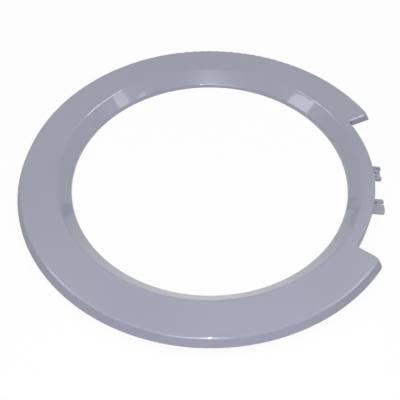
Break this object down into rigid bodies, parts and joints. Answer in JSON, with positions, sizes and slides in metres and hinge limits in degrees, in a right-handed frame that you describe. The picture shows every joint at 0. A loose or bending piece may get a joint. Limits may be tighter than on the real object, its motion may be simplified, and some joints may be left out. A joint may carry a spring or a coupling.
{
  "type": "washing machine door frame",
  "caption": "Round moulded outer frame for a front-loading washer's door, with a sloping funnel round the opening and a notch with tabs for the hinge.",
  "frame": {"origin": "centre of the round opening, at the back edge of its lip, which the frame rests on", "axes": "+Z along the opening's axis, out of the show face; +X from the centre to the middle of the hinge notch"},
  "size_m": [0.3623, 0.38, 0.0165],
  "materials": {
    "moulded_plastic": "gloss silver-grey, coloured in the mass"
  },
  "bodies": {
    "root": {"door_frame": "moulded_plastic"}
  },
  "joints": []
}
